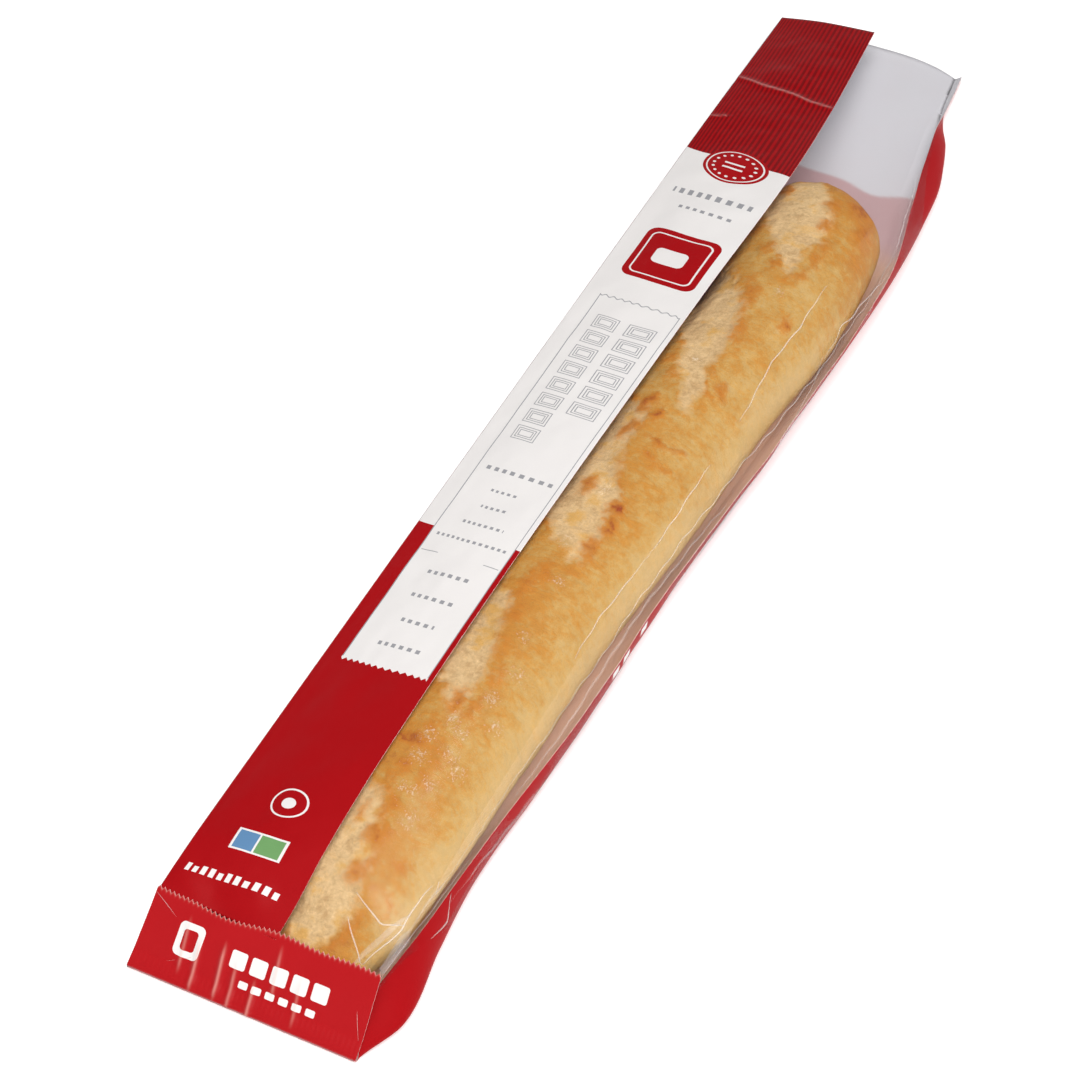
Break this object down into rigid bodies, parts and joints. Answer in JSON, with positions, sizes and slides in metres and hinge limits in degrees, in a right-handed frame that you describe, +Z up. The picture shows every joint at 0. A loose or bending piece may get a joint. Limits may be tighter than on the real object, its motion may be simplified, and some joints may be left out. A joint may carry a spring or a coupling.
{
  "type": "baguette in a window bag",
  "caption": "Long crusty baguette lying in a gusseted paper bag with a clear film window along one side, the bag folded shut at one end and open at the other.",
  "frame": {"origin": "on the floor, under the middle of the whole object's bounding box", "axes": "+X along the loaf and the bag, from the folded end to the open mouth; +Y across, away from the clear window; +Z up"},
  "size_m": [0.6572, 0.127, 0.048],
  "materials": {
    "crust": "matte",
    "printed_paper": "satin",
    "clear_film": "gloss"
  },
  "bodies": {
    "root": {"loaf": "crust", "paper_sleeve": "printed_paper", "window_film": "clear_film"}
  },
  "joints": []
}
